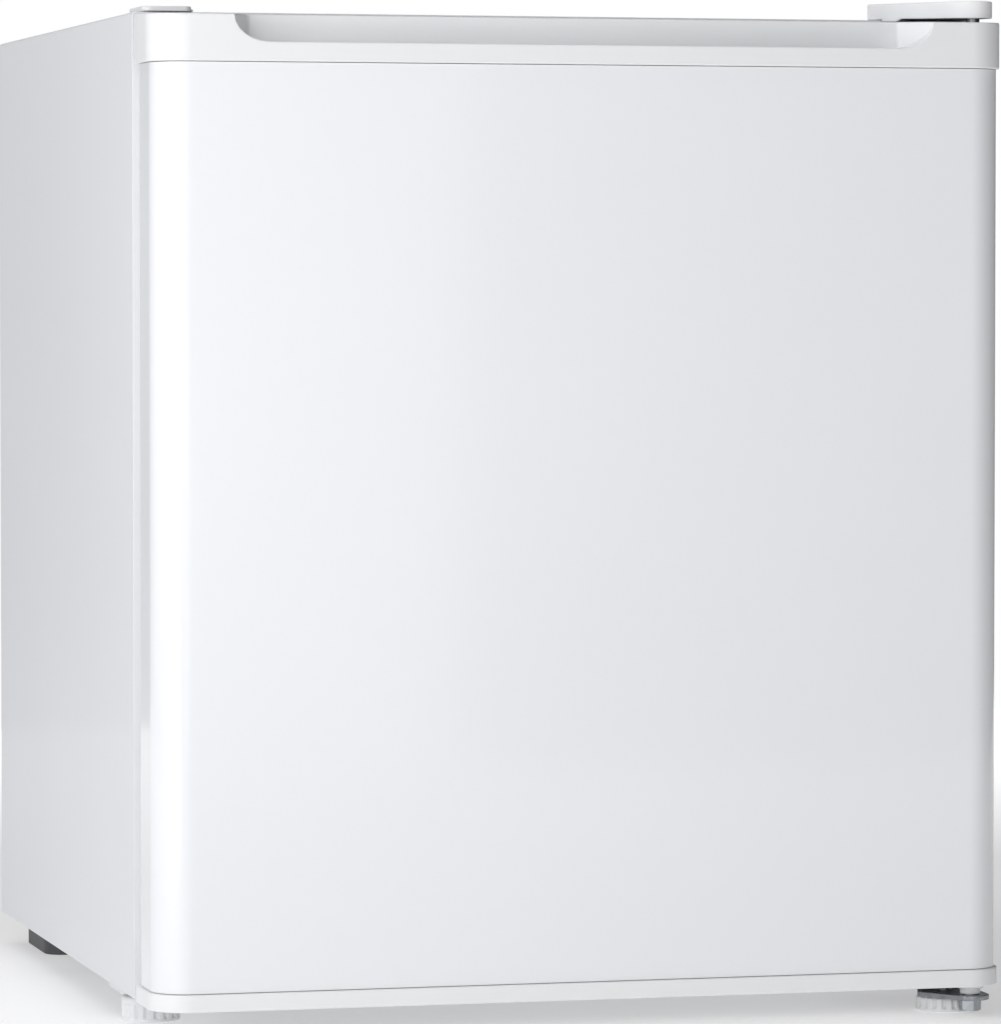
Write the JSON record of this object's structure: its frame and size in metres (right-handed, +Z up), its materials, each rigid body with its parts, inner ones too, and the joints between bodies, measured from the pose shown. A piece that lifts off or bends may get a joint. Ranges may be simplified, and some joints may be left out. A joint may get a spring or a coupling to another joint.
{
  "type": "mini fridge",
  "caption": "Compact free-standing refrigerator with a hinged door, scooped grip, freezer box, shelves, door racks, levelling feet and a rear compressor with wire condenser.",
  "frame": {"origin": "on the floor, under the middle of the whole object's box", "axes": "+Z up, -Y out of the door's front, +X to the right, where the door's hinges are"},
  "size_m": [0.44, 0.47, 0.5161],
  "materials": {
    "side_paint": "white painted steel, satin",
    "door_paint": "white painted steel, gloss",
    "white_plastic": "white moulded plastic, satin gloss",
    "liner_plastic": "white vacuum-formed polystyrene",
    "gasket": "white soft vinyl magnetic seal",
    "foam": null,
    "steel": "zinc-plated steel",
    "galvanised": "galvanised sheet",
    "aluminium": "roll-bonded aluminium, satin",
    "copper": "drawn copper",
    "black_paint": "black stove enamel",
    "dark_plastic": "dark grey moulded plastic",
    "rubber": "black rubber",
    "clear_plastic": "clear faintly blue polystyrene",
    "glass": "toughened glass"
  },
  "bodies": {
    "cabinet": {"outer_shell": "side_paint", "bottom_plate": "galvanised", "back_panel": "galvanised", "cabinet_foam": "foam", "inner_liner": "liner_plastic", "upper_hinge_plate": "steel", "upper_hinge_pin": "steel", "upper_hinge_screw_1": "steel", "upper_hinge_screw_2": "steel", "hinge_cover": "white_plastic", "blanking_cover": "white_plastic", "lower_hinge_bracket": "steel", "foot_bracket_left": "steel", "lower_hinge_pin": "steel", "lower_hinge_washer": "white_plastic", "rear_foot_left": "dark_plastic", "rear_foot_right": "dark_plastic", "evaporator_box": "aluminium", "evaporator_spacer": "white_plastic", "evaporator_pipe": "aluminium", "freezer_frame": "white_plastic", "thermostat_housing": "white_plastic", "thermostat": "galvanised", "compressor": "black_paint", "compressor_rail": "galvanised", "compressor_grommet_1": "rubber", "compressor_grommet_2": "rubber", "compressor_grommet_3": "rubber", "compressor_grommet_4": "rubber", "terminal_cover": "dark_plastic", "mains_cable_gland": "dark_plastic", "condenser_tube": "black_paint", "condenser_wires": "black_paint", "condenser_bracket_left": "dark_plastic", "condenser_bracket_right": "dark_plastic", "filter_drier": "copper", "discharge_pipe": "copper", "suction_pipe": "copper", "capillary_tube": "copper"},
    "door": {"door_skin": "door_paint", "door_foam": "foam", "door_liner": "liner_plastic", "door_gasket": "gasket", "door_top_cap": "white_plastic", "door_bottom_cap": "white_plastic", "upper_hinge_bush": "white_plastic", "lower_hinge_bush": "white_plastic"},
    "upper_rack": {"door_rack_upper": "clear_plastic"},
    "lower_rack": {"door_rack_lower": "clear_plastic"},
    "flap": {"freezer_flap": "clear_plastic"},
    "dial": {"thermostat_knob": "white_plastic"},
    "tray": {"drip_tray": "clear_plastic"},
    "upper_shelf": {"shelf_upper_glass": "glass", "shelf_upper_trim": "white_plastic"},
    "lower_shelf": {"shelf_lower_glass": "glass", "shelf_lower_trim": "white_plastic"},
    "left_foot_stud": {"foot_stud_left": "steel"},
    "left_foot_knob": {"foot_knob_left": "white_plastic"},
    "right_foot_stud": {"foot_stud_right": "steel"},
    "right_foot_knob": {"foot_knob_right": "white_plastic"}
  },
  "joints": [
    {"name": "door_hinge", "type": "hinge", "parent": "cabinet", "child": "door", "pos_m": [0.2095, -0.2075, 0], "axis": [0, 0, 1], "range_deg": [0, 120]},
    {"name": "upper_rack_lift", "type": "slide", "parent": "door", "child": "upper_rack", "axis": [0, 0, 1], "range_m": [0, 0.042]},
    {"name": "lower_rack_lift", "type": "slide", "parent": "door", "child": "lower_rack", "axis": [0, 0, 1], "range_m": [0, 0.056]},
    {"name": "freezer_flap_hinge", "type": "hinge", "parent": "cabinet", "child": "flap", "pos_m": [-0.045, -0.074, 0.4545], "axis": [-1, 0, 0], "range_deg": [0, 85]},
    {"name": "thermostat_turn", "type": "hinge", "parent": "cabinet", "child": "dial", "pos_m": [0.139, -0.0655, 0.44], "axis": [0, -1, 0], "range_deg": [-270, 0]},
    {"name": "drip_tray_slide", "type": "slide", "parent": "cabinet", "child": "tray", "axis": [0, -1, 0], "range_m": [0, 0.03]},
    {"name": "upper_shelf_slide", "type": "slide", "parent": "cabinet", "child": "upper_shelf", "axis": [0, -1, 0], "range_m": [0, 0.03]},
    {"name": "lower_shelf_slide", "type": "slide", "parent": "cabinet", "child": "lower_shelf", "axis": [0, -1, 0], "range_m": [0, 0.03]},
    {"name": "left_foot_travel", "type": "slide", "parent": "cabinet", "child": "left_foot_stud", "axis": [0, 0, -1], "range_m": [0, 0.01]},
    {"name": "left_foot_spin", "type": "hinge", "parent": "left_foot_stud", "child": "left_foot_knob", "pos_m": [-0.2, -0.123, 0], "axis": [0, 0, -1], "range_deg": [0, 2880]},
    {"name": "right_foot_travel", "type": "slide", "parent": "cabinet", "child": "right_foot_stud", "axis": [0, 0, -1], "range_m": [0, 0.005]},
    {"name": "right_foot_spin", "type": "hinge", "parent": "right_foot_stud", "child": "right_foot_knob", "pos_m": [0.203, -0.187, 0], "axis": [0, 0, -1], "range_deg": [0, 1440]}
  ],
  "couplings": [
    {"joint": "left_foot_travel", "follows": "left_foot_spin", "m_per_rad": 0.00019894},
    {"joint": "right_foot_travel", "follows": "right_foot_spin", "m_per_rad": 0.00019894}
  ]
}
